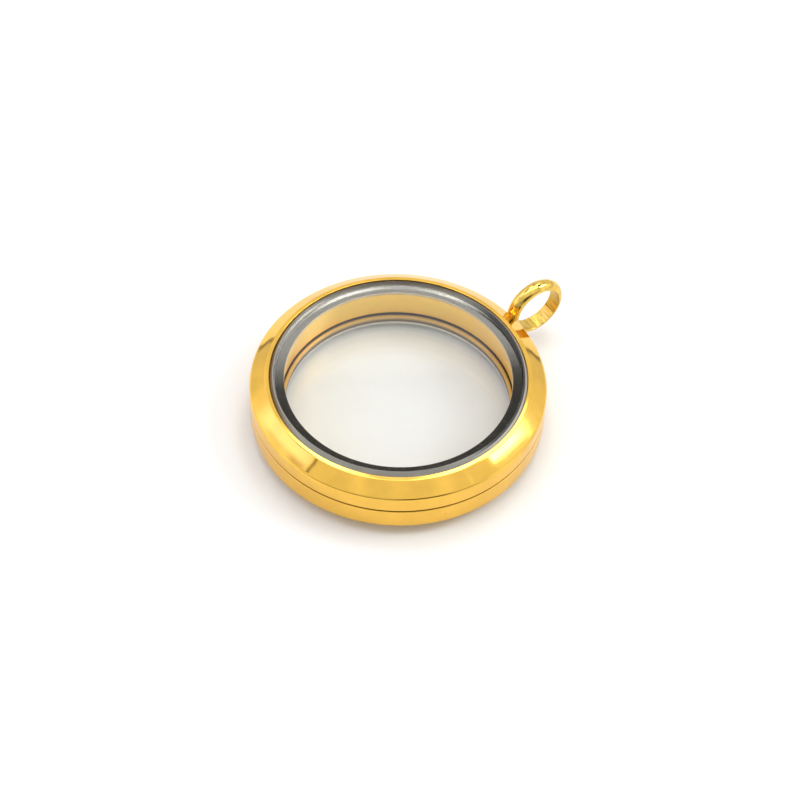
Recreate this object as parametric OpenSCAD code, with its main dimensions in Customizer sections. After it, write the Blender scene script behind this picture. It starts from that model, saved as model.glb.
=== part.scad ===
// Fillable glass locket, all sizes in millimetres.
// Two metal case halves screw together by a sleeve on the front half. Each half holds a thick
// round glass on a dark seal ring, and an upright eye for the chain is soldered to the front half.
// The locket lies on its back glass: the origin is the middle of that face, +Z is up through the
// front glass, and the eye stands on the +Y side.

/* [Case] */
// Outside diameter of both case halves
case_d = 30; // [29:0.5:36]
// Height of the metal case, from the back rim to the front rim
case_h = 6.5; // [6.2:0.1:8]
// Diameter of the opening in each rim
window_d = 26; // [24.5:0.5:27]
// Width of the narrow flat on top of each rim
rim_w = 0.4; // [0.2:0.05:0.6]
// How far the wide bevel falls between the rim and the side wall
bevel_h = 1.2; // [0.8:0.1:1.3]
// Radius of the soft edge between the bevel and the side wall
crease_r = 0.5; // [0.2:0.05:0.6]
// Height of the seam above the back rim
seam_h = 3.5; // [3.3:0.05:3.6]
// Gap between the two halves at the seam
seam_gap = 0.05; // [0.03:0.01:0.1]
// Small bevel on both edges of the seam
seam_bevel = 0.12; // [0.05:0.01:0.2]

/* [Inside] */
// Diameter of the chamber that is filled
chamber_d = 23.8; // [23.4:0.1:25]
// Diameter of the hole in the ledge that carries each seal
ledge_d = 23; // [22:0.1:23.4]
// Thickness of each ledge
ledge_t = 0.7; // [0.3:0.05:0.8]

/* [Thread] */
// Outside diameter of the screw sleeve on the front half
sleeve_d = 26.4; // [26:0.1:27]
// Radial clearance between the sleeve and the bore of the back half
screw_gap = 0.05; // [0.03:0.01:0.1]
// Gap between the end of the sleeve and the back ledge
sleeve_end_gap = 0.25; // [0.1:0.05:0.4]
// Depth of the groove round the sleeve where the thread runs
thread_depth = 0.2; // [0.1:0.05:0.3]
// Plain band left on the sleeve above and below the thread
pilot_h = 0.15; // [0.1:0.05:0.3]

/* [Glass] */
// Thickness of each glass
glass_t = 1.1; // [0.9:0.05:1.2]
// How far each glass stands out of its rim
glass_proud = 0.25; // [0.05:0.05:0.3]
// Width of the ground edge round both faces of each glass
glass_edge = 0.4; // [0.2:0.05:0.4]
// Gap between a glass and the case round it
glass_gap = 0.05; // [0.02:0.01:0.1]

/* [Seal] */
// Thickness of each seal ring
seal_t = 0.3; // [0.2:0.05:0.4]
// Gap between a seal and the glass and ledge that hold it
seal_gap = 0.02; // [0.01:0.01:0.05]
// Gap between a seal and the case round it
seal_side_gap = 0.1; // [0.05:0.01:0.2]

/* [Eye] */
// Diameter of the hole that the chain passes through
eye_bore_d = 5.2; // [3:0.1:5.6]
// Width of the eye, along its hole
eye_w = 1.65; // [1:0.05:2]
// Thickness of the eye at the crown of its rounded outside
eye_wall = 0.75; // [0.5:0.05:0.8]
// Height of the hole's middle above the back rim
eye_z = 4.5; // [4.4:0.05:4.6]
// How far the eye is sunk into the side wall where it is soldered
eye_sunk = 0.05; // [0.02:0.01:0.1]
// Degrees that the eye is turned from a straight line through the case
eye_turn = 5.5; // [0:0.5:8]
// Diameter of the solder at the side wall
solder_d = 1.5; // [1:0.1:1.6]
// How far the solder reaches out from the wall
solder_reach = 0.3; // [0.2:0.05:0.4]

/* [Hidden] */
$fn = 180;
gold = [0.93, 0.72, 0.28];
black = [0.08, 0.08, 0.08];
clear = [0.85, 0.9, 0.9, 0.35];

case_r = case_d / 2;
window_r = window_d / 2;
chamber_r = chamber_d / 2;
ledge_r = ledge_d / 2;
sleeve_r = sleeve_d / 2;
screw_bore_r = sleeve_r + screw_gap;
rim_r = window_r + rim_w;
glass_r = window_r - glass_gap;
seal_r = window_r - seal_side_gap;
eye_bore_r = eye_bore_d / 2;

// Heights from the face that the locket lies on
back_rim_z = glass_proud;
front_rim_z = back_rim_z + case_h;
front_face_z = front_rim_z + glass_proud;
back_seam_z = back_rim_z + seam_h;
front_seam_z = back_seam_z + seam_gap;
ledge_depth = glass_t + seal_t + 2 * seal_gap;
back_ledge_top = ledge_depth + ledge_t;
front_ledge_top = front_face_z - ledge_depth;
sleeve_end_z = back_ledge_top + sleeve_end_gap;
eye_mid_z = back_rim_z + eye_z;

// Slope of the bevel, and the distance from its corner to where the soft edge begins
bevel_slope = atan2(bevel_h, case_r - rim_r);
crease_reach = crease_r * tan(45 - bevel_slope / 2);

eye_crown_r = eye_bore_r + eye_wall;
eye_y = case_r - eye_sunk + eye_crown_r;
// Radius of the arc over the eye's outside, from one edge of the hole to the other
eye_dome_r = (pow(eye_wall, 2) + pow(eye_w / 2, 2)) / (2 * eye_wall);

// Section of one half without its hollows: parting face at part_z, rim at rim_z above it
module outer_section(part_z, rim_z) {
    corner_z = rim_z - bevel_h;
    polygon([
        [0, part_z],
        [case_r - seam_bevel, part_z],
        [case_r, part_z + seam_bevel],
        [case_r, corner_z - crease_reach],
        [case_r - crease_reach * cos(bevel_slope), corner_z + crease_reach * sin(bevel_slope)],
        [rim_r, rim_z],
        [0, rim_z]
    ]);
    translate([case_r - crease_r, corner_z - crease_reach]) circle(r = crease_r);
}

// The sleeve, with the groove for its thread
module sleeve_section() {
    groove_h = back_seam_z - sleeve_end_z - 2 * pilot_h;
    difference() {
        translate([0, sleeve_end_z]) square([sleeve_r, front_seam_z - sleeve_end_z + 0.1]);
        translate([sleeve_r - thread_depth, sleeve_end_z + pilot_h]) square([1, groove_h]);
    }
}

module front_section() {
    difference() {
        union() {
            outer_section(front_seam_z, front_rim_z);
            sleeve_section();
        }
        translate([0, front_ledge_top]) square([window_r, case_h]);
        translate([0, sleeve_end_z - 1]) square([ledge_r, case_h]);
        translate([0, sleeve_end_z - 1]) square([chamber_r, front_ledge_top - ledge_t - sleeve_end_z + 1]);
    }
}

module back_section() {
    difference() {
        mirror([0, 1]) outer_section(-back_seam_z, -back_rim_z);
        square([ledge_r, case_h]);
        square([window_r, ledge_depth]);
        translate([0, back_ledge_top]) square([screw_bore_r, case_h]);
    }
}

// The eye is flat towards its hole and rounded outside
module eye_section() {
    intersection() {
        translate([eye_crown_r - eye_dome_r, 0]) circle(r = eye_dome_r);
        translate([eye_bore_r, -eye_w]) square([2 * eye_wall, 2 * eye_w]);
    }
}

module eye() {
    translate([0, eye_y, eye_mid_z])
        rotate([0, 0, -eye_turn])
            rotate([0, 90, 0])
                rotate_extrude() eye_section();
}

module solder() {
    translate([0, case_r - 0.5, eye_mid_z])
        rotate([-90, 0, 0])
            cylinder(d1 = solder_d, d2 = solder_d / 2, h = 0.5 + solder_reach);
}

module front_case() {
    color(gold) union() {
        rotate_extrude() front_section();
        eye();
        solder();
    }
}

module back_case() {
    color(gold) rotate_extrude() back_section();
}

// Section of a glass, outer face up at height 0
module glass_section() {
    polygon([
        [0, -glass_t],
        [glass_r - glass_edge, -glass_t],
        [glass_r, glass_edge - glass_t],
        [glass_r, -glass_edge],
        [glass_r - glass_edge, 0],
        [0, 0]
    ]);
}

// Section of a seal ring, a flat washer with its upper side at height 0
module seal_section() {
    translate([ledge_r, -seal_t]) square([seal_r - ledge_r, seal_t]);
}

module front_glass() {
    color(clear) translate([0, 0, front_face_z]) rotate_extrude() glass_section();
}

module front_seal() {
    color(black) translate([0, 0, front_face_z - glass_t - seal_gap]) rotate_extrude() seal_section();
}

module back_glass() {
    color(clear) mirror([0, 0, 1]) rotate_extrude() glass_section();
}

module back_seal() {
    color(black) translate([0, 0, glass_t + seal_gap])
        mirror([0, 0, 1]) rotate_extrude() seal_section();
}

back_case();
back_seal();
back_glass();
front_case();
front_seal();
front_glass();
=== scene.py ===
# %% [markdown]
# # A fillable glass locket
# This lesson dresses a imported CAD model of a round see-through locket. The real one has two gold
# plated steel halves that screw together, a thick glass and a thin dark seal ring in each, and an
# eye for the chain soldered to the side. The CAD model fixes every size. Here each node is made
# again with more and finer faces, because polished metal and clear glass show every flat spot.

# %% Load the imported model
import math

import bmesh
import bpy
from mathutils import Matrix, Vector


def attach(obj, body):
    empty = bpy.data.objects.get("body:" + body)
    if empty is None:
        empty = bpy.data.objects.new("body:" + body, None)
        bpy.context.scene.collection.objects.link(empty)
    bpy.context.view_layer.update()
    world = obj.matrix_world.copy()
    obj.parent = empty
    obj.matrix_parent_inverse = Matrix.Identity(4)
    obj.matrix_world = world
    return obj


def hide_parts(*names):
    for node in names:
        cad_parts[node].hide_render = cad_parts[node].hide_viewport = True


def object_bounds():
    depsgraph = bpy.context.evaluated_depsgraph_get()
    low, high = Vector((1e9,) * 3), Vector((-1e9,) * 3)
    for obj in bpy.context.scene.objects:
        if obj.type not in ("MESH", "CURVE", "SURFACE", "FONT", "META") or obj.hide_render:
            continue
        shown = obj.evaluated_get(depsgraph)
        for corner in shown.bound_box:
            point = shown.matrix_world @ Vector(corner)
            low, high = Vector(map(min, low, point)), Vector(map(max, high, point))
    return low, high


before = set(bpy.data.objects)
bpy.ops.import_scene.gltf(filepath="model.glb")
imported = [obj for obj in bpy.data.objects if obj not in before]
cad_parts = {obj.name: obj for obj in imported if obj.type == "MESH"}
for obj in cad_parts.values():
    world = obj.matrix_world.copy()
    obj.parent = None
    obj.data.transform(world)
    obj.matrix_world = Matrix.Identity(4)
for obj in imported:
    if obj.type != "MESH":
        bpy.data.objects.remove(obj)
cad_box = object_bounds()
print("nodes:", sorted(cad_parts))

# %% [markdown]
# ## The sizes
# These are the sizes of the part's own source, in millimetres, so that each turned piece here
# lies where its CAD node lies. The origin is the middle of the back glass's outer face, +Z is up
# through the front glass, and the eye stands on the +Y side.

# %% Sizes in millimetres
MM = 0.001
CASE_R, RIM_R, WINDOW_R = 15.0, 13.4, 13.0
LEDGE_R, CHAMBER_R, SLEEVE_R, SCREW_BORE_R, GROOVE_R = 11.5, 11.9, 13.2, 13.25, 13.0
CREASE_R, SEAM_BEVEL, BEVEL_H = 0.5, 0.12, 1.2
BACK_RIM_Z, FRONT_RIM_Z, FRONT_FACE_Z = 0.25, 6.75, 7.0
BACK_SEAM_Z, FRONT_SEAM_Z, SLEEVE_END_Z = 3.75, 3.8, 2.39
GLASS_R, GLASS_T, GLASS_EDGE = 12.95, 1.1, 0.4
SEAL_R, SEAL_T, SEAL_GAP, LEDGE_T = 12.9, 0.3, 0.02, 0.7
LEDGE_DEPTH = GLASS_T + SEAL_T + 2 * SEAL_GAP
BACK_LEDGE_Z, FRONT_LEDGE_Z = LEDGE_DEPTH, FRONT_FACE_Z - LEDGE_DEPTH
THREAD_LEAD, THREAD_BAND = 0.75, 0.15
EYE_R, EYE_W, EYE_WALL, EYE_Y, EYE_Z, EYE_TURN = 2.6, 1.65, 0.75, 18.3, 4.75, 5.5
SOLDER_REACH = 0.3
low, high = cad_box
print("CAD box in mm:", [round(v / MM, 2) for v in low], [round(v / MM, 2) for v in high])

# %% [markdown]
# ## The camera
# The camera stands where the photographer's did. Its angle, distance and focal length were found
# by fitting the two rims, the seam and the eye, so the ellipses in the render have the right
# shape and perspective. A camera looks along its own -Z axis, so its matrix is built from three
# directions: to the right, up, and back from the locket towards the lens.

# %% Camera
PHOTO_SIDE = 800
FOCAL_PIXELS = 2116.0
SENSOR_WIDTH = 36
DISTANCE = 217.8
ELEVATION, AZIMUTH, ROLL = map(math.radians, (50.08, 49.4, 2.31))
LOOK_AT = Vector((-1.0858, 1.2441, 0.795))


def turned_view(x, y, z):
    """A direction in the photographer's axes (right, away, up), in the locket's axes."""
    return Matrix.Rotation(AZIMUTH, 3, "Z") @ Vector((x, y, z))


back = turned_view(0, -math.cos(ELEVATION), math.sin(ELEVATION))
right = turned_view(1, 0, 0)
up = turned_view(0, math.sin(ELEVATION), math.cos(ELEVATION))
side = right * math.cos(ROLL) + up * math.sin(ROLL)
top = up * math.cos(ROLL) - right * math.sin(ROLL)
camera_data = bpy.data.cameras.new("camera")
camera = bpy.data.objects.new("camera", camera_data)
bpy.context.scene.collection.objects.link(camera)
turn = Matrix((side, top, back)).transposed().to_4x4()
camera.matrix_world = Matrix.Translation((LOOK_AT + back * DISTANCE) * MM) @ turn
camera_data.sensor_width = SENSOR_WIDTH
camera_data.lens = FOCAL_PIXELS * SENSOR_WIDTH / PHOTO_SIDE
camera_data.clip_start = 0.01
bpy.context.scene.camera = camera
print("lens", round(camera_data.lens, 2), "mm")


# %% [markdown]
# ## A short way to write node trees
# Materials, the light and the shapes below are all node trees. Adding and linking nodes one by
# one takes many lines, so this small class writes a tree as sums: each call adds a node and hands
# back its output, which goes into the next call.

# %% Helper for node trees
class Tree:
    """A node tree that is written as sums: each call adds a node and returns its output."""

    def __init__(self, tree):
        self.tree = tree

    def add(self, kind, **settings):
        node = self.tree.nodes.new(kind)
        for name, value in settings.items():
            setattr(node, name, value)
        return node

    def join(self, source, socket):
        """Links an output to a socket, or sets the socket where the source is a plain value."""
        if hasattr(source, "is_output"):
            self.tree.links.new(source, socket)
        else:
            socket.default_value = source

    def math(self, operation, *values):
        node = self.add("ShaderNodeMath", operation=operation)
        for value, socket in zip(values, node.inputs):
            self.join(value, socket)
        return node.outputs[0]

    def vector(self, operation, *values, output="Vector"):
        node = self.add("ShaderNodeVectorMath", operation=operation)
        for value, socket in zip(values, node.inputs):
            self.join(value, socket)
        return node.outputs[output]

    def dot(self, a, b):
        return self.vector("DOT_PRODUCT", a, b, output="Value")

    def fade(self, value, start, end, low=0.0, high=1.0):
        """Goes softly from low to high while the value goes from start to end."""
        node = self.add("ShaderNodeMapRange", interpolation_type="SMOOTHSTEP")
        sockets = ("Value", "From Min", "From Max", "To Min", "To Max")
        for name, given in zip(sockets, (value, start, end, low, high)):
            self.join(given, node.inputs[name])
        return node.outputs["Result"]

    def noise(self, where, size, detail=2.0):
        """Cloudy values from 0 to 1, in lumps of about this many millimetres."""
        node = self.add("ShaderNodeTexNoise")
        self.join(where, node.inputs["Vector"])
        self.join(1 / (size * MM), node.inputs["Scale"])
        self.join(detail, node.inputs["Detail"])
        return node.outputs["Fac"]

    def blend(self, share, first, second):
        """The first colour where the share is 0, the second where it is 1."""
        node = self.add("ShaderNodeMix", data_type="RGBA")
        self.join(share, node.inputs[0])
        for colour, socket in ((first, node.inputs[6]), (second, node.inputs[7])):
            self.join(colour if hasattr(colour, "is_output") else (*colour, 1), socket)
        return node.outputs[2]

    def from_axis(self, where):
        """How far a point lies from the locket's axis."""
        return self.vector("LENGTH", self.vector("MULTIPLY", where, (1, 1, 0)), output="Value")

    def height(self, where):
        """How high a point lies."""
        parts = self.add("ShaderNodeSeparateXYZ")
        self.join(where, parts.inputs[0])
        return parts.outputs["Z"]


# %% [markdown]
# ## The floor
# The locket lies on plain white paper. Its colour is a light grey, which the bright tent lifts to
# the plain white of the photo, so that only the soft shadow round the locket shows. The floor
# lies a hair below the glass, so that the two faces never fight for the same place.

# %% Floor
FLOOR_Z = -0.03
FLOOR_HALF = 3000
FLOOR_CORNERS = ((-1, -1), (1, -1), (1, 1), (-1, 1))
PAPER = (0.75, 0.757, 0.722, 1)
corners = [(x * FLOOR_HALF * MM, y * FLOOR_HALF * MM, FLOOR_Z * MM) for x, y in FLOOR_CORNERS]
floor_mesh = bpy.data.meshes.new("floor")
floor_mesh.from_pydata(corners, [], [(0, 1, 2, 3)])
floor = bpy.data.objects.new("floor", floor_mesh)
bpy.context.scene.collection.objects.link(floor)
floor_paint = bpy.data.materials.new("white_paper")
floor_paint.use_nodes = True
floor_shader = floor_paint.node_tree.nodes["Principled BSDF"]
floor_shader.inputs["Base Color"].default_value = PAPER
floor_shader.inputs["Roughness"].default_value = 0.9
floor_shader.inputs["Specular IOR Level"].default_value = 0.0
floor_mesh.materials.append(floor_paint)
print("floor:", 2 * FLOOR_HALF * MM, "m wide, at", FLOOR_Z, "mm")

# %% [markdown]
# ## The light
# Polished metal has no colour of its own to show: it shows its surroundings. So the photographer's
# white tent is described by directions in the world shader: even white cloth, bright panels on
# both sides and overhead, dark seams and darker places at the horizon, and two dark holes, one at
# the back of the tent and one that the photographer looks through. Each panel is a soft-edged
# rectangle. The shader measures how far a direction lies to the side of the panel's middle and
# above it, and fades the panel off at its edges.

# %% The cloth of the tent
CLOTH_RISE = 0.4
HORIZON_LIGHT, CLOTH_LIGHT = 0.85, 1.0
world = bpy.data.worlds.new("light_tent")
world.use_nodes = True
bpy.context.scene.world = world
bpy.context.scene.view_settings.view_transform = "Standard"
sky = Tree(world.node_tree)
towards = sky.add("ShaderNodeTexCoord").outputs["Generated"]
rise = sky.fade(sky.dot(towards, (0.0, 0.0, 1.0)), 0.0, CLOTH_RISE, HORIZON_LIGHT, CLOTH_LIGHT)
light = sky.blend(rise, (0, 0, 0), (1, 1, 1))
print("cloth:", HORIZON_LIGHT, "at the horizon,", CLOTH_LIGHT, "above it")

# %% One panel
# the first keeps a division safe, and below the second a direction faces away from the panel
AHEAD_LEAST, AHEAD_SEEN = 0.001, 0.01


def direction(azimuth, elevation):
    """A direction from the locket; azimuth runs from the photo's right round past its back."""
    a, e = math.radians(azimuth), math.radians(elevation)
    return turned_view(math.cos(a) * math.cos(e), math.sin(a) * math.cos(e), math.sin(e))


def panel(azimuth, elevation, width, height, lean):
    """How much of a panel a direction sees, 0 to 1.

    Width and height are each a half size in degrees and the softness of its edge."""
    middle = direction(azimuth, elevation)
    sideways = Vector((0, 0, 1)).cross(middle).normalized()
    upwards = middle.cross(sideways)
    spin = Matrix.Rotation(math.radians(lean), 3, middle)
    ahead = sky.math("MAXIMUM", sky.dot(towards, tuple(middle)), AHEAD_LEAST)
    seen = sky.math("GREATER_THAN", ahead, AHEAD_SEEN)
    for axis, (half, softness) in ((spin @ sideways, width), (spin @ upwards, height)):
        edge = math.tan(math.radians(half))
        off = sky.math("DIVIDE", sky.math("ABSOLUTE", sky.dot(towards, tuple(axis))), ahead)
        inside = sky.fade(off, edge * (1 - softness), edge * (1 + softness), 1.0, 0.0)
        seen = sky.math("MULTIPLY", seen, inside)
    return seen


# %% [markdown]
# Most panels were placed by finding, in the photo, where the metal mirrors something bright or
# dark, and working out the direction it comes from. A later panel covers the ones before it.

# %% The panels
# azimuth, elevation, half width, half height, softness of sides and ends, lean, colour times brightness
PANELS = {
    "overhead": (90, 82, 38, 22, 0.2, 0.2, 0, (3.3, 3.3, 3.3)),
    "overhead_left": (120, 66, 11, 7, 0.4, 0.4, 0, (5.5, 5.5, 5.8)),
    "overhead_right": (60, 66, 11, 8, 0.4, 0.4, 0, (6.3, 6.3, 6.6)),
    "overhead_side": (59, 56, 7, 5, 0.4, 0.4, 0, (5.0, 5.0, 5.3)),
    "overhead_join": (90, 77, 5, 20, 0.6, 0.1, 0, (1.3, 1.3, 1.5)),
    "right_cloth": (2, 28, 26, 9, 0.6, 0.6, 0, (1.15, 1.15, 1.3)),
    "left_cloth": (160, 35, 30, 14, 0.6, 0.6, 0, (1.2, 1.2, 1.35)),
    "left_low": (182, 14, 25, 9, 0.5, 0.5, 0, (1.45, 1.45, 1.4)),
    "right_low": (358, 14, 25, 9, 0.5, 0.5, 0, (1.35, 1.35, 1.3)),
    "left_lamp": (172, 42, 20, 9, 0.4, 0.1, 36, (1.9, 1.75, 2.7)),
    "left_stand": (196, 38.8, 6.5, 2.6, 0.6, 0.6, 24, (0.6, 0.6, 0.6)),
    "left_end": (210, 45, 6.5, 16, 0.1, 0.1, 0, (1.0, 1.0, 1.0)),
    "right_glow": (14, 33.5, 12, 5, 0.5, 0.4, -35, (1.5, 1.6, 1.9)),
    "right_lamp": (4.2, 43.7, 15, 7.7, 0.7, 0.12, -35, (8.8, 8.6, 9.4)),
    "right_stand": (357, 32, 9, 3, 0.5, 0.5, -30, (0.5, 0.5, 0.5)),
    "right_end": (341, 45, 6.5, 16, 0.1, 0.1, 0, (1.0, 1.0, 1.0)),
    "front_left_streak": (239, 51, 4, 9, 0.9, 0.5, 0, (1.12, 1.12, 1.12)),
    "front_right_streak": (311, 50, 4, 9, 0.9, 0.5, 0, (1.12, 1.12, 1.12)),
    "tent_pole": (202, 42, 0.7, 9, 0.4, 0.2, 0, (0.3, 0.3, 0.3)),
    "left_seam": (155, 61, 13, 8, 0.3, 0.3, 0, (0.08, 0.08, 0.08)),
    "right_seam": (29, 60, 13, 8, 0.3, 0.3, 0, (0.08, 0.08, 0.08)),
    "front_low": (270, 12, 58, 18, 0.3, 0.5, 0, (0.55, 0.55, 0.55)),
    "photographer": (290, 20, 16, 11, 0.4, 0.4, 0, (0.12, 0.12, 0.12)),
    "back_opening": (90, 54.1, 9, 5, 0.12, 0.12, 6, (0.09, 0.085, 0.08)),
    "right_horizon": (50, 0, 14, 1.4, 0.5, 0.5, 0, (0.25, 0.25, 0.25)),
    "left_horizon": (124, 0, 14, 1.4, 0.5, 0.5, 0, (0.3, 0.3, 0.3)),
}
for azimuth, elevation, wide, tall, soft_side, soft_end, lean, colour in PANELS.values():
    share = panel(azimuth, elevation, (wide, soft_side), (tall, soft_end), lean)
    light = sky.blend(share, light, colour)
sky.join(light, world.node_tree.nodes["Background"].inputs["Color"])
print("panels in the tent:", len(PANELS))

# %% [markdown]
# ## Outlines for the lathe
# Every ring, glass and seal of the locket was turned on a lathe: a flat outline swept once round
# an axis. A sharp corner looks wrong in polished metal, because a real edge is always a little
# round and catches a thin line of light. So an outline is given by its corners, and each corner
# becomes a small arc. One more point on the flat to each side keeps the flats flat when the faces
# are shaded smooth.

# %% Outlines with rounded corners
SUPPORT = 0.02
ARC_STEP, ARC_LEAST = 12.0, 5


def rounded(corners):
    """A closed outline from (radius, height, corner radius), in mm; each corner becomes an arc."""
    points = []
    for i, (x, y, r) in enumerate(corners):
        here = Vector((x, y))
        before = (Vector(corners[i - 1][:2]) - here).normalized()
        after = (Vector(corners[(i + 1) % len(corners)][:2]) - here).normalized()
        if r == 0:
            points.append(here)
            continue
        angle = before.angle(after)
        reach = r / math.tan(angle / 2)
        middle = here + (before + after).normalized() * (r / math.sin(angle / 2))
        start, end = here + before * reach - middle, here + after * reach - middle
        turn = start.angle_signed(end)
        steps = max(ARC_LEAST, math.ceil(abs(math.degrees(turn)) / ARC_STEP))
        points.append(middle + start + before * SUPPORT)
        for k in range(steps + 1):
            c, s = math.cos(-turn * k / steps), math.sin(-turn * k / steps)
            points.append(middle + Vector((start.x * c - start.y * s, start.x * s + start.y * c)))
        points.append(middle + end + after * SUPPORT)
    return points


# %% [markdown]
# ## The lathe
# Geometry Nodes turn the outline. It comes in as a wire whose X is the radius and whose Y is the
# height, and Curve to Mesh sweeps it along a small circle. The outline is shifted inwards by that
# circle's radius, so that its own X stays the true radius. The tree can also push the surface in
# and out by a cloudy noise, for pieces that came from a torch and not from a tool. Realize
# Instances and Set Material come last, since an export keeps only plain meshes.

# %% The lathe as a node tree
PATH_R = 1.0
SEED = 7.0


def node_tree(name, inputs):
    """A new Geometry Nodes tree with these named inputs and one geometry output."""
    tree = bpy.data.node_groups.new(name, "GeometryNodeTree")
    for label, kind in inputs:
        tree.interface.new_socket(label, in_out="INPUT", socket_type="NodeSocket" + kind)
    tree.interface.new_socket("Result", in_out="OUTPUT", socket_type="NodeSocketGeometry")
    build = Tree(tree)
    return build, build.add("NodeGroupInput").outputs


def swept(build, path, profile):
    """Sweeps the profile along the path, upright all the way, with closed ends and smooth shading."""
    upright = build.add("GeometryNodeSetCurveNormal", mode="Z_UP")
    build.join(path, upright.inputs["Curve"])
    outline = build.add("GeometryNodeMeshToCurve")
    build.join(profile, outline.inputs["Mesh"])
    sweep = build.add("GeometryNodeCurveToMesh")
    build.join(upright.outputs["Curve"], sweep.inputs["Curve"])
    build.join(outline.outputs["Curve"], sweep.inputs["Profile Curve"])
    build.join(True, sweep.inputs["Fill Caps"])
    smooth = build.add("GeometryNodeSetShadeSmooth")
    build.join(sweep.outputs["Mesh"], smooth.inputs["Geometry"])
    return smooth.outputs["Geometry"]


def finished(build, shape, material):
    """Ends a tree: instances become plain mesh and the mesh gets its material."""
    real = build.add("GeometryNodeRealizeInstances")
    build.join(shape, real.inputs["Geometry"])
    finish = build.add("GeometryNodeSetMaterial")
    build.join(real.outputs["Geometry"], finish.inputs["Geometry"])
    build.join(material, finish.inputs["Material"])
    build.join(finish.outputs["Geometry"], build.add("NodeGroupOutput").inputs["Result"])
    return build.tree


def lathe_tree():
    """The tree that turns an outline round the Z axis."""
    build, given = node_tree("lathe", (
        ("Outline", "Geometry"), ("Path Radius", "Float"), ("Steps Round", "Int"),
        ("Lump Size", "Float"), ("Lump Height", "Float"), ("Finish", "Material")))
    path = build.add("GeometryNodeCurvePrimitiveCircle", mode="RADIUS")
    build.join(given["Steps Round"], path.inputs["Resolution"])
    build.join(given["Path Radius"], path.inputs["Radius"])
    shape = swept(build, path.outputs["Curve"], given["Outline"])
    cloud = build.add("ShaderNodeTexNoise", noise_dimensions="4D")
    build.join(SEED, cloud.inputs["W"])
    build.join(build.math("DIVIDE", 1.0, given["Lump Size"]), cloud.inputs["Scale"])
    swell = build.math("SUBTRACT", cloud.outputs["Fac"], 0.5)
    push = build.math("MULTIPLY", swell, given["Lump Height"])
    normal = build.add("GeometryNodeInputNormal").outputs[0]
    lumpy = build.add("GeometryNodeSetPosition")
    build.join(shape, lumpy.inputs["Geometry"])
    build.join(build.vector("MULTIPLY", normal, push), lumpy.inputs["Offset"])
    return finished(build, lumpy.outputs["Geometry"], given["Finish"])


LATHE = lathe_tree()
print("lathe nodes:", len(LATHE.nodes))

# %% [markdown]
# A tree is set up through a modifier. Each input is set by its socket's identifier, and then the
# finished mesh is taken off the object, so that what is exported is what is seen here. The seam
# of each ring is closed by merging the vertices that lie on each other.

# %% A wire for a tree to sweep


def wire(name, outline, shift=0.0):
    """A new object whose mesh is a closed wire along the outline, for a tree to sweep."""
    mesh = bpy.data.meshes.new(name)
    count = len(outline)
    points = [((p[0] - shift) * MM, -p[1] * MM, 0) for p in outline]
    mesh.from_pydata(points, [(i, (i + 1) % count) for i in range(count)], [])
    obj = bpy.data.objects.new(name, mesh)
    bpy.context.scene.collection.objects.link(obj)
    return obj


# %% Running a tree
MERGE_WITHIN = 1e-7


def run_tree(obj, tree, place=None, **inputs):
    """Runs the tree, keeps its mesh, puts that in its place and turns its faces outwards."""
    modifier = obj.modifiers.new("shape", "NODES")
    modifier.node_group = tree
    named = {s.name: s.identifier for s in tree.interface.items_tree if s.in_out == "INPUT"}
    for name, value in inputs.items():
        modifier[named[name.replace("_", " ")]] = value
    evaluated = obj.evaluated_get(bpy.context.evaluated_depsgraph_get())
    mesh = bpy.data.meshes.new_from_object(evaluated)
    obj.modifiers.clear()
    obj.data = mesh
    work = bmesh.new()
    work.from_mesh(mesh)
    bmesh.ops.remove_doubles(work, verts=work.verts, dist=MERGE_WITHIN)
    if place is not None:
        work.transform(place)
    bmesh.ops.recalc_face_normals(work, faces=work.faces)
    work.to_mesh(mesh)
    work.free()
    return obj


# %% A turned piece
STEPS_ROUND = 384


def report(obj):
    """Prints how many faces a piece has and how far it reaches, in mm."""
    points = [v.co / MM for v in obj.data.vertices]
    reach = max(math.hypot(p.x, p.y) for p in points)
    heights = [round(pick(p.z for p in points), 3) for pick in (min, max)]
    print(obj.name, len(obj.data.polygons), "faces, radius", round(reach, 3), "z", heights)


def turned(name, outline, material, steps=STEPS_ROUND, place=None, lump_size=1.0, lump_height=0.0):
    """A turned piece from its outline in mm, as a plain mesh in metres."""
    obj = wire(name, outline, PATH_R)
    run_tree(obj, LATHE, place, Path_Radius=PATH_R * MM, Steps_Round=steps,
             Lump_Size=lump_size * MM, Lump_Height=lump_height * MM, Finish=material)
    report(obj)
    return obj


# %% [markdown]
# ## The gold
# The metal is steel with a thin coat of polished gold. One recipe makes all of its finishes: a
# cloud that lightens and darkens the plating a little and makes it duller in places, broad waves
# left by the polishing wheel, a fine grain where the surface was only brushed, and turning marks
# that run round the axis inside the chamber. All of these lean on Object coordinates, so they
# stay on the piece when it moves. The recipe can also paint a dark line of shade at one height,
# where parts meet and shade falls, and draw its clouds and waves out into streaks.

# %% A new paint
# the values at which a cloud is darkest and lightest, and how much of its length a streak loses
CLOUD = (0.3, 0.7)
STREAK = 0.9


def new_paint(name):
    """A material, its tree, its shader, and where each point lies on the piece."""
    material = bpy.data.materials.new(name)
    material.use_nodes = True
    nodes = Tree(material.node_tree)
    shader = material.node_tree.nodes["Principled BSDF"]
    return material, nodes, shader, nodes.add("ShaderNodeTexCoord").outputs["Object"]


def roughen(nodes, shader, depth):
    """Bends the shading as if the surface stood this many millimetres higher or lower."""
    bump = nodes.add("ShaderNodeBump")
    nodes.join(1.0, bump.inputs["Strength"])
    nodes.join(MM, bump.inputs["Distance"])
    nodes.join(depth, bump.inputs["Height"])
    nodes.join(bump.outputs["Normal"], shader.inputs["Normal"])


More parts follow.
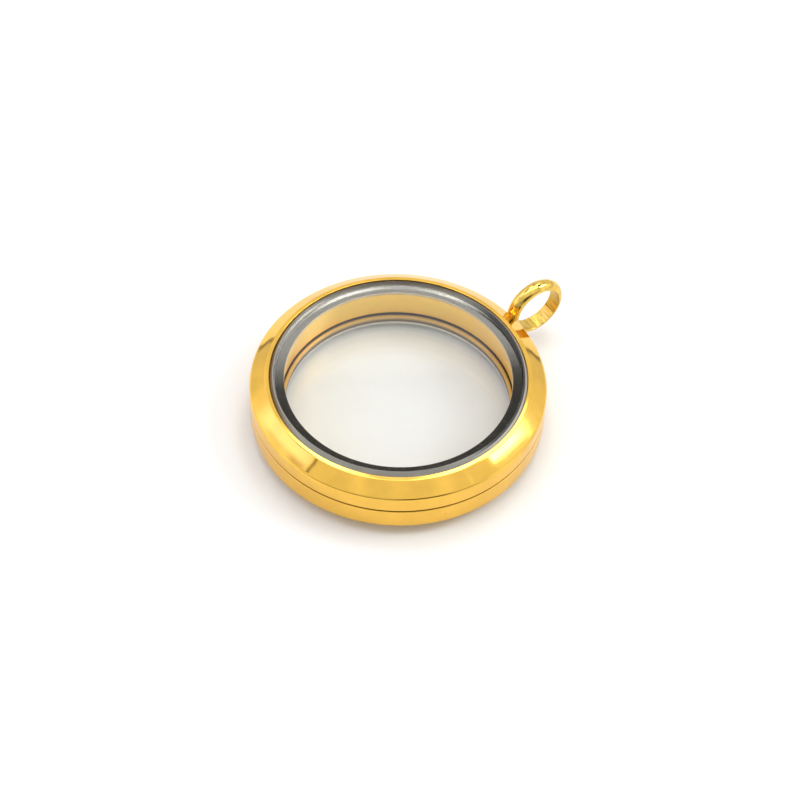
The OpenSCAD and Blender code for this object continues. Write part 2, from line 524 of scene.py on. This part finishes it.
def drawn_out(nodes, where, along):
    """Where each point lies, with most of its way along a direction taken out."""
    kept = nodes.math("MULTIPLY", nodes.dot(where, along), -STREAK)
    scaled = nodes.add("ShaderNodeVectorMath", operation="SCALE")
    scaled.inputs[0].default_value = along
    nodes.join(kept, scaled.inputs["Scale"])
    return nodes.vector("ADD", where, scaled.outputs["Vector"])


# %% The gold recipe
GOLD, LIGHTEST = (0.88, 0.527, 0.091), 1.03
# colour and roughness of a line of painted shade where parts meet
SHADE_LINE_GOLD, SHADE_LINE_ROUGHNESS = (0.16, 0.07, 0.008), 0.5
SHINIEST, DULLEST = 0.8, 1.25
FINE, COARSE = 3.0, 1.0
GRAIN_SIZE = 0.12
ROUND_THE_AXIS = (0.15, 0.15, 6.0)


def gold(name, colour=GOLD, roughness=0.06, lump=2.5, wave=0.0, grain=0.0, marks=0.0,
         shade_line=None, shade_line_colour=SHADE_LINE_GOLD, patch=3.0, darkest=0.94, along=None):
    """Gold plating; lump is the width of its waves, and wave, grain and marks are depths, in mm.

    Shade line is the height of a line of painted shade, the distance where it starts to fade and where
    it ends.
    Patch is the size of the clouds in the colour, and darkest is how much of the colour is left
    in the darkest of them. Along is the direction of streaks."""
    material, nodes, shader, where = new_paint(name)
    shader.inputs["Metallic"].default_value = 1.0
    drawn = drawn_out(nodes, where, along) if along else where
    cloud = nodes.noise(drawn, patch, FINE)
    darker = tuple(c * darkest for c in colour)
    lighter = tuple(min(1.0, c * LIGHTEST) for c in colour)
    tint = nodes.blend(nodes.fade(cloud, *CLOUD), darker, lighter)
    dull = nodes.fade(cloud, *CLOUD, roughness * SHINIEST, roughness * DULLEST)
    # painted shade: a dark band at one height, where parts meet and shade falls
    if shade_line:
        line, start, end = (size * MM for size in shade_line)
        off = nodes.math("ABSOLUTE", nodes.math("SUBTRACT", nodes.height(where), line))
        in_shade_line = nodes.fade(off, start, end, 1.0, 0.0)
        tint = nodes.blend(in_shade_line, tint, shade_line_colour)
        dull = nodes.math("MAXIMUM", dull, nodes.math("MULTIPLY", in_shade_line, SHADE_LINE_ROUGHNESS))
    nodes.join(tint, shader.inputs["Base Color"])
    nodes.join(dull, shader.inputs["Roughness"])
    depth = nodes.math("MULTIPLY", nodes.noise(drawn, lump, COARSE), wave)
    if grain:
        depth = nodes.math("MULTIPLY_ADD", nodes.noise(where, GRAIN_SIZE), grain, depth)
    if marks:
        rings = nodes.vector("MULTIPLY", where, ROUND_THE_AXIS)
        depth = nodes.math("MULTIPLY_ADD", nodes.noise(rings, 1.0, FINE), marks, depth)
    roughen(nodes, shader, depth)
    return material


# %% [markdown]
# ## The gold finishes
# The rim and the bevel are mirror polished. The side wall is satin, with a line of painted shade
# in the seam. The chamber wall is duller and was turned, and it is lacquered, which is a clear coat
# over the gold; it has painted shade at the height of the back ledge.

# %% Gold of the case
SEAM_Z = (BACK_SEAM_Z + FRONT_SEAM_Z) / 2
polished = gold("polished_gold", wave=0.009, darkest=0.9)
# painted shade: a dark band in the seam between the two halves
satin = gold("satin_gold_wall", roughness=0.22, wave=0.006, grain=0.004, shade_line=(SEAM_Z, 0.08, 0.12))
# painted shade: a dark band at the height of the back ledge, where it meets the seal
chamber = gold("chamber_gold", colour=(0.92, 0.585, 0.1), roughness=0.36, wave=0.01, marks=0.005,
               shade_line=(BACK_LEDGE_Z, 0.15, 0.45), shade_line_colour=(0.2, 0.14, 0.07))
lacquer = chamber.node_tree.nodes["Principled BSDF"].inputs
lacquer["Coat Weight"].default_value = 0.4
lacquer["Coat Roughness"].default_value = 0.3
print("case finishes:", polished.name, satin.name, chamber.name)

# %% [markdown]
# The top of the back ledge is seen through the glass as a bright line below a dark gap. It is
# paler and duller than the wall, because dust has settled on it, so it is only half metal. It has
# painted shade low down where it meets the seal, and painted shadow where it runs in under the sleeve.

# %% Gold of the back ledge
SLEEVE_SHADOW, METAL_LEFT = (0.05, 0.03, 0.01), 0.5
SHADE_START, SHADE_END = CHAMBER_R - 0.2, CHAMBER_R - 0.05
# painted shade: a dark band low on the ledge where it meets the seal
ledge = gold("ledge_gold", colour=(0.7, 0.46, 0.14), roughness=0.35, wave=0.01, marks=0.005,
             shade_line=(BACK_LEDGE_Z, 0.15, 0.65), shade_line_colour=(0.13, 0.08, 0.035))
ledge_shader = ledge.node_tree.nodes["Principled BSDF"]
ledge_shader.inputs["Metallic"].default_value = METAL_LEFT
nodes = Tree(ledge.node_tree)
where = nodes.add("ShaderNodeTexCoord").outputs["Object"]
# painted shadow where the ledge runs in under the sleeve
shade = nodes.fade(nodes.from_axis(where), SHADE_START * MM, SHADE_END * MM)
bright = ledge_shader.inputs["Base Color"].links[0].from_socket
nodes.join(nodes.blend(shade, bright, SLEEVE_SHADOW), ledge_shader.inputs["Base Color"])
print("ledge goes dark from radius", round(SHADE_START, 2), "to", round(SHADE_END, 2), "mm")

# %% [markdown]
# The eye is a little paler than the case. Its dome was polished by hand, so its waves are deeper
# and closer. In its hole the clouds and waves become streaks along the hole, as a mandrel leaves
# them. The solder was never polished at all: it is browner, lumpy and patchy.

# %% Gold of the eye
EYE_GOLD = (0.86, 0.57, 0.12)
EYE_AXIS = (math.cos(math.radians(EYE_TURN)), -math.sin(math.radians(EYE_TURN)), 0.0)
dome = gold("eye_dome_gold", colour=EYE_GOLD, lump=0.7, wave=0.027, patch=0.8, darkest=0.75)
bore = gold("eye_bore_gold", colour=EYE_GOLD, roughness=0.2, lump=0.3, wave=0.09, grain=0.02,
            patch=0.35, darkest=0.6, along=EYE_AXIS)
solder = gold("solder_gold", colour=(0.5, 0.4, 0.12), roughness=0.15, lump=0.3, wave=0.3, grain=0.03,
              patch=0.4, darkest=0.3)
print("gold finishes:", len([m for m in bpy.data.materials if "gold" in m.name]))

# %% [markdown]
# ## The seal rings
# Each seal is a thin washer of smooth dark rubber between the glass and the metal ledge. Its face
# is smooth enough to mirror: in the photo it is black where it mirrors the opening at the back of
# the tent and grey where it mirrors the cloth below it. A high refractive index gives a dark
# surface such a strong shine. The cut inner edge is dull: grey on the back seal, and on the front
# one, which faces the gold, a brown that is a painted reflection of the gold.

# %% Seal rubber
BLACK, DUSTY = (0.006, 0.005, 0.0045), (0.05, 0.045, 0.04)
# the front cut edge's brown is a painted reflection of the gold it faces
BACK_CUT, FRONT_CUT_REFLECTED_GOLD = (0.5, 0.48, 0.43), (0.52, 0.38, 0.2)
MOST_DUST = 0.15
FACE_ROUGHNESS, CUT_ROUGHNESS = 0.06, 0.4
RUBBER_IOR, WARM_SHINE = 2.2, (1.0, 0.95, 0.85, 1)
rubber, nodes, shader, where = new_paint("seal_rubber")
cut = nodes.fade(nodes.from_axis(where), (LEDGE_R + 0.005) * MM, (LEDGE_R + 0.02) * MM, 1.0, 0.0)
dust = nodes.fade(nodes.noise(where, 0.5, 4.0), 0.55, 0.8, 0.0, MOST_DUST)
face = nodes.blend(dust, BLACK, DUSTY)
# grey cut edge at the back, painted gold reflection on the front cut edge
edge = nodes.blend(nodes.fade(nodes.height(where), 2 * MM, 5 * MM), BACK_CUT, FRONT_CUT_REFLECTED_GOLD)
nodes.join(nodes.blend(cut, face, edge), shader.inputs["Base Color"])
rougher = nodes.math("MULTIPLY", cut, CUT_ROUGHNESS)
nodes.join(nodes.math("ADD", FACE_ROUGHNESS, rougher), shader.inputs["Roughness"])
shader.inputs["IOR"].default_value = RUBBER_IOR
shader.inputs["Specular IOR Level"].default_value = 1.0
shader.inputs["Specular Tint"].default_value = WARM_SHINE
roughen(nodes, shader, nodes.math("MULTIPLY", nodes.noise(where, 1.5), 0.002))
print("seal finish:", rubber.name)

# %% [markdown]
# ## The glass
# Clear glass needs two things here. Its shader bends what is seen through it, as real glass does.
# But a bent ray seldom finds a lamp, so the chamber would stay dark. The Light Path node says
# what a ray is looking for: rays that gather light for a shadow or for a dull surface go straight
# through a Transparent shader, and all others see real glass. The edge of each glass was ground
# on a wheel and left dull, which is a second, frosted finish.

# %% What both glasses share
GLASS_IOR = 1.5
SMUDGED = 0.985


def glass_paint(name, colour, clean, smudgy):
    """Glass of a colour, whose roughness goes from clean to smudgy in soft clouds."""
    material, nodes, shader, where = new_paint(name)
    smudge = nodes.noise(where, 4.0, FINE)
    tint = nodes.blend(nodes.fade(smudge, *CLOUD), colour, tuple(c * SMUDGED for c in colour))
    nodes.join(tint, shader.inputs["Base Color"])
    nodes.join(nodes.fade(smudge, 0.5, 0.9, clean, smudgy), shader.inputs["Roughness"])
    shader.inputs["Transmission Weight"].default_value = 1.0
    shader.inputs["IOR"].default_value = GLASS_IOR
    return material, nodes, shader, where, tint


# %% Clear glass
window, nodes, shader, where, tint = glass_paint("window_glass", (0.99, 1.0, 0.985), 0.0, 0.02)
rays = nodes.add("ShaderNodeLightPath").outputs
straight = nodes.add("ShaderNodeBsdfTransparent")
either = nodes.add("ShaderNodeMixShader")
gathers = nodes.math("MAXIMUM", rays["Is Shadow Ray"], rays["Is Diffuse Ray"])
nodes.join(gathers, either.inputs[0])
nodes.join(shader.outputs[0], either.inputs[1])
nodes.join(straight.outputs[0], either.inputs[2])
nodes.join(either.outputs[0], window.node_tree.nodes["Material Output"].inputs["Surface"])
print("clear glass:", window.name)

# %% [markdown]
# The ground edge is painted with light and shade by where it lies. Its outer part gets painted
# brown shade to the left, and to the right painted black shade inside with a thin line of painted
# light outside. So the frosted glass asks each point how far to the right of the view it lies, from
# -1 to 1, how far from the axis, and how far above or below the middle of the locket. Where the
# painted shade and light lie, the transmission drops as well, so light through the glass keeps them.

# %% Ground glass
# painted brown shade, painted black shade and a painted light line on the ground edge
BROWN_SHADE, BLACK_SHADE, PAINTED_LIGHT = (0.13, 0.075, 0.025), (0.02, 0.018, 0.015), (0.8, 0.76, 0.64)
BROWN_SHADE_DULLS, PAINTED_LIGHT_DULLS = 0.75, 0.4
BROWN_SHADE_LEFT, BLACK_SHADE_RIGHT, PAINTED_LIGHT_RIGHT = (-0.5, -0.85), (0.3, 0.7), (0.4, 0.8)
BROWN_SHADE_FROM, BROWN_SHADE_FULL = 12.62 * MM, 12.72 * MM
BLACK_SHADE_FULL, BLACK_SHADE_TO = 12.7 * MM, 12.76 * MM
INNER_EDGE_FULL, INNER_EDGE_TO = 2.75 * MM, 2.95 * MM
frosted, nodes, shader, where, tint = glass_paint("ground_glass_edge", (0.6, 0.6, 0.53), 0.3, 0.45)
rightwards = nodes.dot(nodes.vector("NORMALIZE", where), tuple(turned_view(1, 0, 0)))
from_axis = nodes.from_axis(where)
outer = nodes.fade(from_axis, BROWN_SHADE_FROM, BROWN_SHADE_FULL)
brown_shade = nodes.math("MULTIPLY", nodes.fade(rightwards, *BROWN_SHADE_LEFT), outer)
above_middle = nodes.math("SUBTRACT", nodes.height(where), FRONT_FACE_Z / 2 * MM)
inner = nodes.fade(nodes.math("ABSOLUTE", above_middle), INNER_EDGE_FULL, INNER_EDGE_TO, 1.0, 0.0)
inner = nodes.math("MAXIMUM", inner, nodes.fade(from_axis, BLACK_SHADE_FULL, BLACK_SHADE_TO, 1.0, 0.0))
# painted black shade on the inner edge to the right, a painted light line outside it
shaded = nodes.math("MULTIPLY", inner, nodes.fade(rightwards, *BLACK_SHADE_RIGHT))
painted_light = nodes.fade(rightwards, *PAINTED_LIGHT_RIGHT, 0.0, PAINTED_LIGHT_DULLS)
for share, colour in ((brown_shade, BROWN_SHADE), (painted_light, PAINTED_LIGHT), (shaded, BLACK_SHADE)):
    tint = nodes.blend(share, tint, colour)
dull = nodes.math("MAXIMUM", shaded, painted_light)
dull = nodes.math("MAXIMUM", dull, nodes.math("MULTIPLY", brown_shade, BROWN_SHADE_DULLS))
nodes.join(tint, shader.inputs["Base Color"])
nodes.join(nodes.math("SUBTRACT", 1.0, dull), shader.inputs["Transmission Weight"])
roughen(nodes, shader, nodes.math("MULTIPLY", nodes.noise(where, 0.1), 0.02))
print("ground glass:", frosted.name)

# %% [markdown]
# ## The front half
# The front half is one turned ring: a narrow rim round the glass, a wide bevel, the side wall, the
# ledge that carries seal and glass, and a sleeve that screws into the back half. The wheel that
# polished the bevel left it very slightly bulged, which is what makes reflections slant across
# it, so the bevel here is one long shallow arc. After turning, faces get their finish by where
# they lie: satin on the side wall, turning marks in the chamber and a mirror polish elsewhere.
# One rule serves both halves. The dusty ledge lies on the back half alone.

# %% Rules for both halves
RIM_DROP, RIM_CORNER = 0.05, 0.3
BULGE, BULGE_R = 0.009, 40.0
LEDGE_TOP_Z = BACK_LEDGE_Z + LEDGE_T
CASE_FINISHES = (polished, satin, chamber, ledge)


def bevel_corners(rim_z, outwards):
    """The rim's outer corner, the bulge on the bevel and the soft edge above the side wall."""
    run, fall = CASE_R - RIM_R, BEVEL_H - RIM_DROP
    length = math.hypot(run, fall)
    mid_r = RIM_R + run / 2 + BULGE * fall / length
    mid_z = rim_z - outwards * (RIM_DROP + fall / 2 - BULGE * run / length)
    return [(RIM_R, rim_z - outwards * RIM_DROP, RIM_CORNER), (mid_r, mid_z, BULGE_R),
            (CASE_R, rim_z - outwards * BEVEL_H, CREASE_R)]


def finish_faces(obj, materials, rule):
    """Gives each face the material whose number the rule returns for the face's radius and height."""
    mesh = obj.data
    mesh.materials.clear()
    for material in materials:
        mesh.materials.append(material)
    for polygon in mesh.polygons:
        c = polygon.center / MM
        polygon.material_index = rule(math.hypot(c.x, c.y), c.z)


def case_finish(r, z):
    """The number of a face's finish on either half; the small lengths take in the round edges."""
    near_seam = r > SCREW_BORE_R + 0.1 and abs(z - SEAM_Z) < SEAM_BEVEL + 0.05
    if near_seam or r > CASE_R - 0.002:
        return CASE_FINISHES.index(satin)
    on_ledge = LEDGE_R - 0.05 < r < SCREW_BORE_R - 0.01
    if on_ledge and BACK_LEDGE_Z + 0.01 < z < LEDGE_TOP_Z + 0.01:
        return CASE_FINISHES.index(ledge)
    return CASE_FINISHES.index(chamber if r < CHAMBER_R + 0.01 else polished)


def dress(obj, body, node=None):
    """Fastens the piece to its body, in place of its CAD node."""
    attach(obj, body)
    if node is not None:
        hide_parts(node)


# %% Front case
front_corners = [(WINDOW_R, FRONT_RIM_Z, 0.05)] + bevel_corners(FRONT_RIM_Z, 1) + [
    (CASE_R, FRONT_SEAM_Z + SEAM_BEVEL, 0.03),
    (CASE_R - SEAM_BEVEL, FRONT_SEAM_Z, 0.03),
    (SLEEVE_R, FRONT_SEAM_Z, 0.03),
    (SLEEVE_R, BACK_SEAM_Z - THREAD_BAND, 0.03),
    (GROOVE_R, BACK_SEAM_Z - THREAD_BAND, 0.03),
    (GROOVE_R, SLEEVE_END_Z + THREAD_BAND, 0.03),
    (SLEEVE_R, SLEEVE_END_Z + THREAD_BAND, 0.03),
    (SLEEVE_R, SLEEVE_END_Z, 0.04),
    (CHAMBER_R, SLEEVE_END_Z, 0.04),
    (CHAMBER_R, FRONT_LEDGE_Z - LEDGE_T, 0.03),
    (LEDGE_R, FRONT_LEDGE_Z - LEDGE_T, 0.04),
    (LEDGE_R, FRONT_LEDGE_Z, 0.04),
    (WINDOW_R, FRONT_LEDGE_Z, 0.03),
]
front_case = turned("front_case_ring", rounded(front_corners), polished)
finish_faces(front_case, CASE_FINISHES, case_finish)
dress(front_case, "front_ring", "front_case")

# %% [markdown]
# ## The screw thread
# The CAD model leaves the thread out, because a helix inside a helix makes heavy solids and the
# joint moves without it. It shows when the halves are unscrewed, so it is swept here along a
# spiral, twice, half a turn apart: a two-start thread lifts far in one turn. The spiral node winds
# to the left, so it is reversed for a right-handed thread. Both ends of each ridge run out into
# the sleeve, so the profile shrinks there.

# %% The thread as a node tree
RUN_OUT, THINNEST = 0.06, 0.02


def thread_tree():
    """The tree that sweeps an outline along a spiral, once for each start of the thread."""
    build, given = node_tree("thread", (
        ("Outline", "Geometry"), ("Foot Radius", "Float"), ("Lead", "Float"), ("Turns", "Float"),
        ("Bottom", "Float"), ("Starts", "Int"), ("Steps a Turn", "Int"), ("Finish", "Material")))
    spiral = build.add("GeometryNodeCurveSpiral")
    build.join(given["Steps a Turn"], spiral.inputs["Resolution"])
    build.join(given["Turns"], spiral.inputs["Rotations"])
    for end in ("Start Radius", "End Radius"):
        build.join(given["Foot Radius"], spiral.inputs[end])
    build.join(build.math("MULTIPLY", given["Lead"], given["Turns"]), spiral.inputs["Height"])
    build.join(True, spiral.inputs["Reverse"])
    along = build.add("GeometryNodeSplineParameter").outputs["Factor"]
    nearest_end = build.math("MINIMUM", along, build.math("SUBTRACT", 1.0, along))
    run_out = build.add("GeometryNodeSetCurveRadius")
    build.join(spiral.outputs["Curve"], run_out.inputs["Curve"])
    build.join(build.fade(nearest_end, 0.0, RUN_OUT, THINNEST, 1.0), run_out.inputs["Radius"])
    ridge = swept(build, run_out.outputs["Curve"], given["Outline"])
    starts = build.add("GeometryNodePoints")
    build.join(given["Starts"], starts.inputs["Count"])
    lift = build.add("ShaderNodeCombineXYZ")
    build.join(given["Bottom"], lift.inputs["Z"])
    build.join(lift.outputs[0], starts.inputs["Position"])
    index = build.add("GeometryNodeInputIndex").outputs[0]
    share = build.math("DIVIDE", index, given["Starts"])
    angle = build.add("ShaderNodeCombineXYZ")
    build.join(build.math("MULTIPLY", share, math.tau), angle.inputs["Z"])
    rotation = build.add("FunctionNodeEulerToRotation")
    build.join(angle.outputs[0], rotation.inputs[0])
    copies = build.add("GeometryNodeInstanceOnPoints")
    build.join(starts.outputs[0], copies.inputs["Points"])
    build.join(ridge, copies.inputs["Instance"])
    build.join(rotation.outputs[0], copies.inputs["Rotation"])
    return finished(build, copies.outputs["Instances"], given["Finish"])


THREAD = thread_tree()
print("thread nodes:", len(THREAD.nodes))

# %% Thread
THREAD_CREST, THREAD_FOOT, THREAD_WIDTH = 13.17, 12.97, 0.26
THREAD_TURNS, THREAD_STARTS, THREAD_STEPS = 1.05, 2, 256
crest = THREAD_CREST - THREAD_FOOT
shoulder = crest * 0.8
half_ridge = [(0, THREAD_WIDTH / 2), (shoulder, 0.05), (crest, 0.02)]
ridge_section = [(out, -up) for out, up in half_ridge] + half_ridge[::-1]
thread = wire("screw_thread", ridge_section)
middle_z = (SLEEVE_END_Z + BACK_SEAM_Z) / 2
bottom_z = middle_z - THREAD_LEAD * THREAD_TURNS / 2
run_tree(thread, THREAD, Foot_Radius=THREAD_FOOT * MM, Lead=THREAD_LEAD * MM, Turns=THREAD_TURNS,
         Bottom=bottom_z * MM, Starts=THREAD_STARTS, Steps_a_Turn=THREAD_STEPS, Finish=polished)
report(thread)
dress(thread, "front_ring")

# %% [markdown]
# ## The back half
# The back half mirrors the front: the same rim, bevel and ledge, and a plain bore for the sleeve.
# The thread cut in the bore lies in its shadow, so bump and painted shade in the groove are enough
# to show it: a wave that climbs by one lead in each turn, with two grooves for the thread's two starts.

# %% Bore with a thread
GROOVE_SHADE_GOLD = (0.5, 0.28, 0.05)
GROOVE_DEPTH = 0.05
threaded, nodes, shader, where = new_paint("threaded_bore_gold")
shader.inputs["Metallic"].default_value = 1.0
parts = nodes.add("ShaderNodeSeparateXYZ")
nodes.join(where, parts.inputs[0])
turns = nodes.math("DIVIDE", nodes.math("ARCTAN2", parts.outputs["Y"], parts.outputs["X"]), math.pi)
climb = nodes.math("MULTIPLY_ADD", parts.outputs["Z"], -2 / (THREAD_LEAD * MM), turns)
groove = nodes.math("SINE", nodes.math("MULTIPLY", climb, math.tau))
# painted shade: the gold darkens down in the groove
tint = nodes.blend(nodes.fade(groove, -1.0, 0.0), GROOVE_SHADE_GOLD, GOLD)
nodes.join(tint, shader.inputs["Base Color"])
nodes.join(nodes.fade(nodes.noise(where, 0.4), *CLOUD, 0.2, 0.4), shader.inputs["Roughness"])
roughen(nodes, shader, nodes.math("MULTIPLY", groove, GROOVE_DEPTH))
print("bore finish:", threaded.name)

# %% Back case
back_corners = [
    (LEDGE_R, BACK_LEDGE_Z, 0.04),
    (WINDOW_R, BACK_LEDGE_Z, 0.03),
    (WINDOW_R, BACK_RIM_Z, 0.05),
] + bevel_corners(BACK_RIM_Z, -1) + [
    (CASE_R, BACK_SEAM_Z - SEAM_BEVEL, 0.03),
    (CASE_R - SEAM_BEVEL, BACK_SEAM_Z, 0.03),
    (SCREW_BORE_R, BACK_SEAM_Z, 0.05),
    (SCREW_BORE_R, LEDGE_TOP_Z, 0.03),
    (LEDGE_R, LEDGE_TOP_Z, 0.04),
]


def back_finish(r, z):
    """The number of a face's finish on the back half, with the bore's thread after the others."""
    if SCREW_BORE_R - 0.01 < r < SCREW_BORE_R + 0.02 and z > LEDGE_TOP_Z:
        return len(CASE_FINISHES)
    return case_finish(r, z)


back_case = turned("back_case_ring", rounded(back_corners), polished)
finish_faces(back_case, CASE_FINISHES + (threaded,), back_finish)
dress(back_case, "back", "back_case")

# %% [markdown]
# ## The glasses
# Each glass is a flat disc, a little proud of its rim, with a ground edge round both faces. It is
# turned from its section like the rest, and the faces beyond the flat get the frosted finish.

# %% Glasses
INNER_EDGE = 0.5


def glass_outline(face, inwards):
    """A glass's outline from the height of its outer face and the way in, 1 up or -1 down."""
    flat_r = GLASS_R - GLASS_EDGE
    return rounded([
        (0, face, 0),
        (flat_r, face, 0.02),
        (GLASS_R, face + inwards * GLASS_EDGE, 0.02),
        (GLASS_R, face + inwards * (GLASS_T - INNER_EDGE), 0.02),
        (GLASS_R - INNER_EDGE, face + inwards * GLASS_T, 0.02),
        (0, face + inwards * GLASS_T, 0),
    ])


def glass_finish(r, z):
    """Clear on both flat faces, frosted round the edge."""
    outer_face = min(z, FRONT_FACE_Z - z) < 0.001
    return 0 if outer_face or r < GLASS_R - INNER_EDGE - 0.02 else 1


GLASSES = {"front_glass": ("front_window", FRONT_FACE_Z, -1), "back_glass": ("back", 0.0, 1)}
for node, (body, face, inwards) in GLASSES.items():
    disc = turned(node + "_disc", glass_outline(face, inwards), window)
    finish_faces(disc, (window, frosted), glass_finish)
    dress(disc, body, node)

# %% [markdown]
# ## The seals
# A flat washer behind each glass, with edges as round as a punch leaves them.

# %% Seals


def seal_outline(face, inwards):
    """A seal's outline from the height of its glass side and the way in, 1 up or -1 down."""
    return rounded([
        (LEDGE_R, face, 0.02),
        (SEAL_R, face, 0.04),
        (SEAL_R, face + inwards * SEAL_T, 0.04),
        (LEDGE_R, face + inwards * SEAL_T, 0.02),
    ])


SEALS = {
    "front_seal": ("front_window", FRONT_FACE_Z - GLASS_T - SEAL_GAP, -1),
    "back_seal": ("back", GLASS_T + SEAL_GAP, 1),
}
for node, (body, face, inwards) in SEALS.items():
    ring = turned(node + "_ring", seal_outline(face, inwards), rubber)
    dress(ring, body, node)

# %% [markdown]
# ## The eye
# The eye was bent from half-round wire: flat towards its hole and domed outside. Turning that
# section round the hole's own axis makes it, and a matrix stands it up beside the case. The dome
# is polished like the case, while the inside of the hole, where no wheel reaches, keeps the
# marks of the mandrel.

# %% Eye
EYE_STEPS = 192
DOME_STEPS = 28
ROUND_EDGE = 4
ACROSS_HOLE = (-0.93, -0.9, -0.3, 0.3, 0.9, 0.93)
eye_place = Matrix.Translation(Vector((0, EYE_Y, EYE_Z)) * MM)
eye_place = eye_place @ Matrix.Rotation(-math.radians(EYE_TURN), 4, "Z")
eye_place = eye_place @ Matrix.Rotation(math.radians(90), 4, "Y")
dome_r = (EYE_WALL ** 2 + (EYE_W / 2) ** 2) / (2 * EYE_WALL)
dome_mid = EYE_R + EYE_WALL - dome_r
dome_angle = math.degrees(math.asin(EYE_W / 2 / dome_r)) - ROUND_EDGE
eye_outline = [Vector((EYE_R, EYE_W / 2 * t)) for t in ACROSS_HOLE]
for k in range(DOME_STEPS + 1):
    a = math.radians(dome_angle * (1 - 2 * k / DOME_STEPS))
    eye_outline.append(Vector((dome_mid + dome_r * math.cos(a), dome_r * math.sin(a))))
eye = turned("chain_eye", eye_outline, dome, steps=EYE_STEPS, place=eye_place)
eye_axis = eye_place.to_3x3() @ Vector((0, 0, 1))
eye_middle = eye_place.translation
eye.data.materials.append(bore)
for polygon in eye.data.polygons:
    arm = polygon.center - eye_middle
    if (arm - eye_axis * arm.dot(eye_axis)).length < (EYE_R + 0.01) * MM:
        polygon.material_index = 1
dress(eye, "front_ring")

# %% [markdown]
# ## The solder
# The eye is held by a drop of gold solder that ran out along the side wall and drew up round the
# foot of the eye. It is turned round the line where the two meet, wide at the wall and narrow at
# the eye, with lumps from the noise input of the lathe.

# %% Solder
SOLDER_STEPS = 64
LUMP_SIZE, LUMP_HEIGHT = 0.35, 0.08
solder_place = Matrix.Translation(Vector((0, CASE_R, EYE_Z)) * MM)
solder_place = solder_place @ Matrix.Rotation(-math.radians(90), 4, "X")
solder_outline = [Vector(p) for p in (
    (0, -0.4),
    (0.7, -0.4),
    (0.82, -0.06),
    (0.72, 0.02),
    (0.58, 0.09),
    (0.47, 0.18),
    (0.4, SOLDER_REACH),
    (0, SOLDER_REACH),
)]
drop = turned("eye_solder", solder_outline, solder, steps=SOLDER_STEPS, place=solder_place,
              lump_size=LUMP_SIZE, lump_height=LUMP_HEIGHT)
dress(drop, "front_ring")
